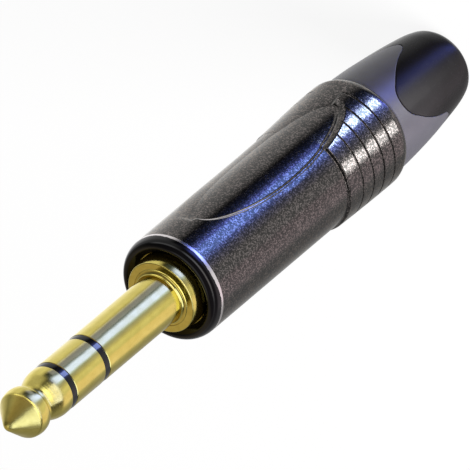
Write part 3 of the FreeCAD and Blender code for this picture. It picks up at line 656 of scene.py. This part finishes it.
# %% Rings of the finger
BLACK_RADIUS = 3.145
BEVEL = 0.09
front_black = [(0.92, 50.9), (1.37, 50.9), (1.37, RING_FRONT), (BLACK_RADIUS, RING_FRONT, 0.03),
               (BLACK_RADIUS, TIP_REAR, 0.03), (0.92, TIP_REAR)]
ring_band = [(1.39, 50.9), (1.84, 50.9), (1.84, RING_REAR), (FINGER, RING_REAR, 0.07),
             (FINGER, RING_FRONT - BEVEL), (FINGER - BEVEL, RING_FRONT), (1.39, RING_FRONT)]
rear_black = [(1.86, 51.4), (2.31, 51.4), (2.31, SLEEVE_FRONT),
              (BLACK_RADIUS, SLEEVE_FRONT, 0.03), (BLACK_RADIUS, RING_REAR, 0.03),
              (1.86, RING_REAR)]
for name, shape, paint, slot, node in (
        ("black_ring_front", front_black, BLACK, "black_insulator", "tip_insulator"),
        ("ring_band", ring_band, GOLD, "gold_plate", "ring_contact"),
        ("black_ring_rear", rear_black, BLACK, "black_insulator", "ring_insulator")):
    piece(name, turned_mesh(name, rounded(shape)), "plug_body", paint, (node,))

# %% [markdown]
# The sleeve and its collar are one turned piece. The collar's side leans in towards the
# face, whose edge stays crisp. Round the root of the finger the tool leaves a hollow
# fillet with a fine edge.

# %% Sleeve and collar
COLLAR = 4.87
FACE, ROOT, RIM = 57.85, 3.68, 4.62
fillet = [(ROOT - (ROOT - FINGER) * math.sin(t), 58.38 - 0.5 * math.cos(t))
          for t in np.linspace(0, math.pi / 2, 9)]
sleeve = [(2.33, 52.6), (3.4, 52.6, 0.1), (3.4, 53.1), (5.45, 53.1, 0.1), (5.45, 55.1, 0.05),
          (COLLAR, 55.1), (COLLAR, 56.3, 0.3), (RIM, FACE, 0.12), (ROOT + 0.1, FACE, 0.04),
          (ROOT + 0.04, 57.98, 0.03), *fillet, (FINGER, SLEEVE_FRONT - BEVEL),
          (FINGER - BEVEL, SLEEVE_FRONT), (2.33, SLEEVE_FRONT)]
piece("sleeve_and_collar", turned_mesh("sleeve_and_collar", rounded(sleeve)), "plug_body",
      GOLD, ("sleeve_contact",))

# %% [markdown]
# ## Shell
# The shell follows a rule: at each angle and height it has one radius. So it starts as a
# blank, a closed grid of columns and rows whose points carry their angle, their height
# and the plain radius. Geometry Nodes then cut the grooves, which repeat, and sink the
# oval panel. Its radius follows from the distance to an ellipse. On one side the wall
# leans well back, with a fine ledge halfway. On the other it is so gentle that
# the panel seems to run out into the barrel. The rows lie closer where something is cut.
# The last steps mark the rim of the panel where hands have worn it.


# %% Blank for a piece that follows a rule
def blank(name, rows, turns):
    """A closed grid. A row is radius, height and 1 if the rule may change it."""
    count = len(turns)
    vertices, faces = [], []
    for radius, height, free in rows:
        vertices += [(radius * math.sin(t) * MM, -radius * math.cos(t) * MM, height * MM)
                     for t in turns]
    for row in range(len(rows)):
        here, there = row * count, (row + 1) % len(rows) * count
        for side in range(count):
            after = (side + 1) % count
            faces.append((here + side, here + after, there + after, there + side))
    mesh = bpy.data.meshes.new(name)
    mesh.from_pydata(vertices, [], faces)
    table = np.array(rows, float)
    for label, values in (("turn", np.tile(turns, len(rows))),
                          ("reach", np.repeat(table[:, 0], count)),
                          ("height", np.repeat(table[:, 1], count)),
                          ("free", np.repeat(table[:, 2], count))):
        mesh.attributes.new(label, "FLOAT", "POINT").data.foreach_set("value", values)
    return mesh


def spaced(low, high, pitch):
    """Heights from low to high, no further apart than the pitch."""
    return list(np.linspace(low, high, max(2, math.ceil(abs(high - low) / pitch) + 1)))


PANEL_COLUMNS, PLAIN_COLUMNS, PANEL_SIDE = 150, 92, math.radians(37.5)
columns = np.concatenate((
    np.linspace(-PANEL_SIDE, PANEL_SIDE, PANEL_COLUMNS, endpoint=False),
    np.linspace(PANEL_SIDE, math.tau - PANEL_SIDE, PLAIN_COLUMNS, endpoint=False)))
print("columns round the shell:", len(columns))


# %% Geometry Nodes for the shell
def new_tree(name, sizes):
    """A Geometry Nodes tree with a mesh input and one named input for each size."""
    tree = bpy.data.node_groups.new(name, "GeometryNodeTree")
    face = tree.interface
    face.new_socket("Geometry", in_out="INPUT", socket_type="NodeSocketGeometry")
    for label in sizes:
        face.new_socket(label, in_out="INPUT", socket_type="NodeSocketFloat")
    face.new_socket("Finish", in_out="INPUT", socket_type="NodeSocketMaterial")
    face.new_socket("Geometry", in_out="OUTPUT", socket_type="NodeSocketGeometry")
    graph = Graph(tree)
    return graph, graph.node("NodeGroupInput", out="Geometry")


def read(graph, label):
    return graph.node("GeometryNodeInputNamedAttribute", {"data_type": "FLOAT"},
                      {"Name": label}, "Attribute")


def store(graph, geometry, label, value):
    return graph.node("GeometryNodeStoreNamedAttribute",
                      {"data_type": "FLOAT", "domain": "POINT"},
                      {"Geometry": geometry, "Name": label, "Value": value})


def close_tree(graph, geometry, start):
    """End a tree with real meshes and their finish."""
    real = graph.node("GeometryNodeRealizeInstances", None, {0: geometry})
    dressed = graph.node("GeometryNodeSetMaterial", None,
                         {"Geometry": real, "Material": start.other("Finish")})
    graph.node("NodeGroupOutput", None, {0: dressed})
    return graph.tree


def run_tree(name, mesh, tree, sizes, paint):
    """Run a tree on a mesh and give the plain mesh that comes out."""
    holder = bpy.data.objects.new(name, mesh)
    bpy.context.scene.collection.objects.link(holder)
    modifier = holder.modifiers.new("rule", "NODES")
    modifier.node_group = tree
    keys = {item.name: item.identifier for item in tree.interface.items_tree
            if item.in_out == "INPUT"}
    for label, size in sizes.items():
        modifier[keys[label]] = float(size)
    modifier[keys["Finish"]] = paint
    holder.update_tag()
    bpy.context.view_layer.update()
    seen = holder.evaluated_get(bpy.context.evaluated_depsgraph_get())
    result = bpy.data.meshes.new_from_object(seen)
    holder.modifiers.remove(modifier)
    bpy.data.objects.remove(holder)
    result.name = name
    return result


def place_points(graph, start, reach, turn, height):
    """Move each point to its radius, angle and height."""
    side = graph.maths("SINE", turn) * reach * MM
    front = graph.maths("COSINE", turn) * reach * -MM
    spot = graph.node("ShaderNodeCombineXYZ", None, {0: side, 1: front, 2: height * MM})
    return graph.node("GeometryNodeSetPosition", None, {"Geometry": start, "Position": spot})


SHELL_SIZES = {"Grooves": 4, "First groove": 20.0, "Groove pitch": 2.13,
               "Groove width": 0.33, "Groove depth": 0.12,
               "Panel centre": 36.05, "Panel half length": 13.65, "Panel half width": 3.75,
               "Panel floor": 6.48, "Wall slope": 0.75, "Gentle share": 0.72,
               "Ledge height": 0.16, "Ledge width": 0.14, "Crest share": 2.2, "Softness": 0.04,
               "Worn from": 38.5, "Worn to": 47.5}
LIFT = 9.0  # takes the panel's wall out of the way where there is no panel
graph, start = new_tree("shell_rule", SHELL_SIZES)
turn, reach, height, free = (read(graph, word) for word in ("turn", "reach", "height", "free"))
# grooves: the distance to the nearest one, and a smooth cut of that distance
first, pitch = start.other("First groove"), start.other("Groove pitch")
count = graph.maths("ROUND", (height - first) / pitch)
count = graph.maths("MINIMUM", graph.maths("MAXIMUM", count, 0.0), start.other("Grooves") - 1)
gap = graph.maths("ABSOLUTE", height - first - count * pitch)
cut = graph.step(gap, start.other("Groove width") / 2, 0.0) * start.other("Groove depth")
skin = reach - cut
# panel: the distance in millimetres from an ellipse that is seen from the front
half_long, half_wide = start.other("Panel half length"), start.other("Panel half width")
along = (height - start.other("Panel centre")) / half_long
aside = graph.maths("SINE", turn) * reach / half_wide
oval = graph.maths("SQRT", along * along + aside * aside)
lean_a, lean_b = along / half_long, aside / half_wide
slope = graph.maths("SQRT", lean_a * lean_a + lean_b * lean_b + 1e-9)
away = (oval - 1) * oval / slope
front = graph.maths("GREATER_THAN", graph.maths("COSINE", turn), 0.0) * free
gentle = graph.step(aside, -0.10, 0.08)
slant = start.other("Wall slope") * (1 - gentle * start.other("Gentle share"))
ledge, flat = start.other("Ledge height"), start.other("Ledge width") * (1 - gentle)
rise = graph.maths("MAXIMUM", away, 0.0) * slant
upper = graph.maths("MAXIMUM", rise - flat * slant, ledge)
upper = ledge + (upper - ledge) * start.other("Crest share")
wall = start.other("Panel floor") + graph.maths("MINIMUM", rise, upper) + (1 - front) * LIFT
skin = graph.maths("SMOOTH_MIN", skin, wall, start.other("Softness"))
final = reach + (skin - reach) * free
worn = graph.step(rise, 0.02, 0.08) * graph.step(rise, 0.42, 0.30) * (1 - gentle) * front
worn = worn * graph.step(height, start.other("Worn from"), start.other("Worn to"))
shaped = place_points(graph, start, final, turn, height)
SHELL_TREE = close_tree(graph, store(graph, shaped, "edge", worn), start)
print("shell rule has", len(SHELL_TREE.nodes), "nodes")

# %% [markdown]
# The plain part of the shell runs from the grip to the edge of the polished nose. The
# rows of its blank go up the outside and back down the cavity.

# %% Plain part of the shell
SHELL_RADIUS = 6.83
GRIP_CREST, GRIP_FRONT, NOSE_START = 28.8, 29.35, 54.8
GRIP_FRONT_RADIUS = 7.12
CAVITY, CAVITY_REAR, CAVITY_STEP = 5.5, 5.9, 33.75
PANEL_ROWS_END, PLAIN_ROWS_FROM = 50.6, 50.9


def step_radius(height):
    """Radius over the S-shaped step from the grip down to the plain part."""
    share = min(max((height - GRIP_CREST) / (GRIP_FRONT - GRIP_CREST), 0), 1)
    return GRIP_FRONT_RADIUS - (GRIP_FRONT_RADIUS - SHELL_RADIUS) * share ** 2 * (3 - 2 * share)


outside = [(step_radius(z), z, 1) for z in spaced(GRIP_CREST, GRIP_FRONT, 0.055)]
outside += [(SHELL_RADIUS, z, 1) for z in spaced(GRIP_FRONT, PANEL_ROWS_END, 0.095)[1:]]
outside += [(SHELL_RADIUS, z, 0) for z in spaced(PLAIN_ROWS_FROM, NOSE_START, 0.6)]
inside = [(CAVITY, NOSE_START, 0), (CAVITY, CAVITY_STEP, 0),
          (CAVITY_REAR, CAVITY_STEP, 0), (CAVITY_REAR, GRIP_CREST, 0)]
mesh = run_tree("shell_barrel", blank("shell_barrel", outside + inside, columns), SHELL_TREE,
                SHELL_SIZES, SHELL)
piece("shell_barrel", mesh, "plug_body", SHELL, ("shell",))

# %% [markdown]
# The nose is a round, polished ring of the same casting. Behind its crest a hollow cone
# runs down to the hole for the collar, and the gold is mirrored in it.

# %% Nose of the shell
CREST, SHELL_FRONT, SEAT = 5.95, 56.55, 55.1
SWELL_FROM = 54.9
swell = [(CREST + (SHELL_RADIUS - CREST) * math.cos(t),
          SWELL_FROM + (SHELL_FRONT - SWELL_FROM) * math.sin(t))
         for t in np.linspace(0, math.pi / 2, 24)]
lip = arc_points((CREST, SHELL_FRONT), (5.62, 56.36), 0.45, 6)
nose = [(SHELL_RADIUS, NOSE_START), *swell, *lip[1:],
        (4.95, 55.7), (4.95, SEAT), (CAVITY, SEAT), (CAVITY, NOSE_START)]
piece("shell_nose", turned_mesh("shell_nose", nose), "plug_body", NOSE,
      ("shell",))

# %% [markdown]
# The grip swells towards its rear edge and is rounded over there. It belongs to the
# same casting. It is a piece of its own here, because two of the cards are for the grip
# alone.

# %% Grip
GRIP_EDGE, SHELL_REAR, GRIP_RADIUS = 18.3, 17.0, 7.28
REAR_DROP, FRONT_DROP = 0.43, 0.16
rear = arc_points((GRIP_RADIUS - REAR_DROP, SHELL_REAR), (GRIP_RADIUS, GRIP_EDGE),
                  (1.3 ** 2 + REAR_DROP ** 2) / (2 * REAR_DROP), 12)
barrel_curve = ((GRIP_CREST - GRIP_EDGE) ** 2 + FRONT_DROP ** 2) / (2 * FRONT_DROP)


def grip_radius(height):
    """Radius of the grip: a long, slightly curved line with a round rear edge."""
    if height <= GRIP_EDGE:
        return float(np.interp(height, [p[1] for p in rear], [p[0] for p in rear]))
    return GRIP_RADIUS - barrel_curve + math.sqrt(barrel_curve ** 2 - (height - GRIP_EDGE) ** 2)


heights = set(np.round(spaced(SHELL_REAR, 21.8, 0.16) + spaced(21.8, GRIP_CREST, 0.1), 4))
for index in range(SHELL_SIZES["Grooves"]):
    middle = SHELL_SIZES["First groove"] + SHELL_SIZES["Groove pitch"] * index
    heights |= set(np.round(np.linspace(middle - 0.3, middle + 0.3, 13), 4))
heights = sorted(heights)
heights = [z for z, after in zip(heights, heights[1:] + [99]) if after - z > 0.02]
rows = [(grip_radius(z), z, 1) for z in heights]
rows += [(CAVITY_REAR, GRIP_CREST, 0), (CAVITY_REAR, SHELL_REAR + 0.4, 0)]
rows += [(r, z, 0) for r, z in rounded([(6.3, SHELL_REAR, 0.1), (6.7, SHELL_REAR)], 4)]
mesh = run_tree("shell_grip", blank("shell_grip", rows, columns), SHELL_TREE,
                SHELL_SIZES, GRIP)
piece("shell_grip", mesh, "plug_body", GRIP, ("shell",))

# %% [markdown]
# ## Boot
# The boot has a hard gland with three petals and a soft cover with three tongues that
# lock between them. One curve is the border of both: at each angle it gives the height
# where hard turns to soft. The grid of each piece is bent so that one of its rows lies
# exactly on that curve, and the edge there is rounded over.

# %% Border between petals and tongues
PETALS, PETAL_TURN = 3, math.radians(11.5)
CUT_REACH = 7.97
NOSE_Z, ROUND_Z, SIDE_Z, PETAL_END = 14.9, 13.45, 7.2, 6.3
ROUND_X, SIDE_X = (CUT_REACH * math.tan(math.radians(a)) for a in (20.3, 50.0))
MIDDLE_X = CUT_REACH * math.tan(math.radians(60.3))
NOSE_R = (ROUND_X ** 2 + (NOSE_Z - ROUND_Z) ** 2) / (2 * (NOSE_Z - ROUND_Z))
TIP_R = ((MIDDLE_X - SIDE_X) ** 2 + (SIDE_Z - PETAL_END) ** 2) / (2 * (SIDE_Z - PETAL_END))


def border(turn):
    """Height of the border at an angle round the boot."""
    sector = math.tau / PETALS
    from_petal = (turn - PETAL_TURN + sector / 2) % sector - sector / 2
    from_tongue = sector / 2 - abs(from_petal)
    x = CUT_REACH * math.tan(from_tongue)
    if x < ROUND_X:
        return NOSE_Z - NOSE_R + math.sqrt(NOSE_R ** 2 - x ** 2)
    if x < SIDE_X:
        return ROUND_Z + (x - ROUND_X) / (SIDE_X - ROUND_X) * (SIDE_Z - ROUND_Z)
    return PETAL_END + TIP_R - math.sqrt(TIP_R ** 2 - (MIDDLE_X - x) ** 2)


SHOULDER, COVER_END = 16.85, 2.0
CORE_REAR, CORE_FRONT, CORE_GAP = 4.15, 5.47, 0.02
skin_line = (arc_points((3.95, 0), (4.93, 1.3), 2.3)
             + arc_points((4.93, 1.3), (5.40, 3.3), 14.0)[1:]
             + arc_points((5.40, 3.3), (6.72, SHOULDER), 110.0, 40)[1:])


def skin_radius(height):
    """Radius of the boot's outside at a height."""
    return np.interp(height, [p[1] for p in skin_line], [p[0] for p in skin_line])


def core_radius(height):
    """Radius of the hard core under the petals and tongues."""
    share = (height - COVER_END) / (SHOULDER - COVER_END)
    return CORE_REAR + share * (CORE_FRONT - CORE_REAR)


print("petals end at", PETAL_END, "mm and tongues at", NOSE_Z, "mm")


# %% Meshes that follow the border
def grid_mesh(name, radii, heights, turns):
    """A closed mesh from tables of radius and height, one row of them for each ring."""
    rows, count = radii.shape
    x = radii * np.sin(turns) * MM
    y = -radii * np.cos(turns) * MM
    vertices = np.stack((x, y, heights * MM), -1).reshape(-1, 3)
    faces = []
    for row in range(rows):
        here, there = row * count, (row + 1) % rows * count
        for side in range(count):
            after = (side + 1) % count
            faces.append((here + side, here + after, there + after, there + side))
    mesh = bpy.data.meshes.new(name)
    mesh.from_pydata(vertices.tolist(), [], faces)
    return mesh


BOOT_SIDES = 360
boot_turns = np.arange(BOOT_SIDES) * math.tau / BOOT_SIDES
edge_line = np.array([border(t) for t in boot_turns])
EDGE = 0.16
# the rounded edge: how far out and how far down, as shares of EDGE
ROLL = [(0.0, 0.0), (0.25, 0.04), (0.55, 0.19), (0.8, 0.42), (0.95, 0.7), (1.0, 1.0)]

petal_radii, petal_heights = [], []
for share in np.linspace(0, 1, 40)[1:]:
    line = SHOULDER - 0.1 + (edge_line + EDGE - SHOULDER + 0.1) * share
    petal_heights.append(line)
    petal_radii.append(skin_radius(line))
for out, down in ROLL[1:]:
    line = edge_line + EDGE * (1 - out)
    petal_heights.append(line)
    petal_radii.append(skin_radius(line) - EDGE * down)
petal_heights.append(edge_line)
petal_radii.append(core_radius(edge_line) + CORE_GAP)
for share in np.linspace(0, 1, 8)[1:]:
    line = edge_line + (SHOULDER - edge_line) * share
    petal_heights.append(line)
    petal_radii.append(core_radius(line) + CORE_GAP)
for radius, height in ((6.62, SHOULDER), (6.68, SHOULDER - 0.03)):
    petal_heights.append(np.full(BOOT_SIDES, height))
    petal_radii.append(np.full(BOOT_SIDES, radius))
petals = grid_mesh("boot_petals", np.array(petal_radii), np.array(petal_heights), boot_turns)
piece("boot_petals", petals, "boot", HARD, ("boot_gland",))

# %% [markdown]
# The soft cover lies a few hundredths lower than the petals, as moulded rubber shrinks,
# and closes round the cable hole at the rear.

# %% Soft cover
CABLE = 3.6
SINK = 0.03
cover_radii, cover_heights = [], []
for share in np.linspace(0, 1, 60):
    line = 0.06 + (edge_line - EDGE - 0.06) * share ** 1.35
    cover_heights.append(line)
    cover_radii.append(skin_radius(line) - SINK * min(1, line.mean()))
for out, down in ROLL[1:]:
    line = edge_line - EDGE * (1 - out)
    cover_heights.append(line)
    cover_radii.append(skin_radius(line) - SINK - EDGE * down)
cover_heights.append(edge_line)
cover_radii.append(core_radius(edge_line) + CORE_GAP)
for share in np.linspace(0, 1, 8)[1:]:
    line = edge_line + (COVER_END - edge_line) * share
    cover_heights.append(line)
    cover_radii.append(core_radius(line) + CORE_GAP)
for radius, height in ((CABLE, COVER_END), (CABLE, 0.12), (3.64, 0.04), (3.72, 0.0),
                       (3.9, 0.0)):
    cover_heights.append(np.full(BOOT_SIDES, height))
    cover_radii.append(np.full(BOOT_SIDES, radius))
cover = grid_mesh("boot_tongues", np.array(cover_radii), np.array(cover_heights), boot_turns)
piece("boot_tongues", cover, "boot", SOFT, ("boot_cover",))

# %% [markdown]
# Under both lies the core of the gland, with the seat that squeezes the chuck and the
# outside thread that screws into the shell. The thread is a rule again: how far a point
# is along the pitch, counted from its height and its angle, gives the depth of the V.

# %% Core with its thread
THREAD_SIZES = {"Pitch": 1.0, "Depth": 0.38, "Flat": 0.16}
graph, start = new_tree("thread_rule", THREAD_SIZES)
turn, reach, height, free = (read(graph, word) for word in ("turn", "reach", "height", "free"))
travel = height / start.other("Pitch") - turn / math.tau
phase = graph.maths("ABSOLUTE", graph.maths("FRACT", travel) - 0.5) * 2
groove = graph.step(phase, 1.0 - start.other("Flat"), start.other("Flat"))
final = reach - groove * start.other("Depth") * free
THREAD_TREE = close_tree(graph, place_points(graph, start, final, turn, height), start)

thread_turns = np.arange(120) * math.tau / 120
THREAD, THREAD_REAR, THREAD_FRONT = 5.85, 17.65, 24.85
rows = [(5.45, SHOULDER - 0.2, 0), (5.45, THREAD_REAR - 0.1, 0)]
for z in spaced(THREAD_REAR, THREAD_FRONT, 0.06):
    chamfer = min(1, (z - THREAD_REAR) / 0.4, (THREAD_FRONT - z) / 0.4)
    rows.append((THREAD - 0.4 * (1 - chamfer), z, chamfer))
rows += [(4.9125, THREAD_FRONT, 0), (4.005, 18.8, 0), (CABLE, 18.8, 0), (CABLE, COVER_END, 0),
         (4.14, COVER_END, 0)]
rows += [(float(core_radius(z)) - 0.01, z, 0) for z in spaced(COVER_END + 0.01, 16.5, 1.5)]
mesh = run_tree("boot_core", blank("boot_core", rows, thread_turns), THREAD_TREE,
                THREAD_SIZES, HARD)
piece("boot_core", mesh, "boot", HARD, ("boot_gland",))
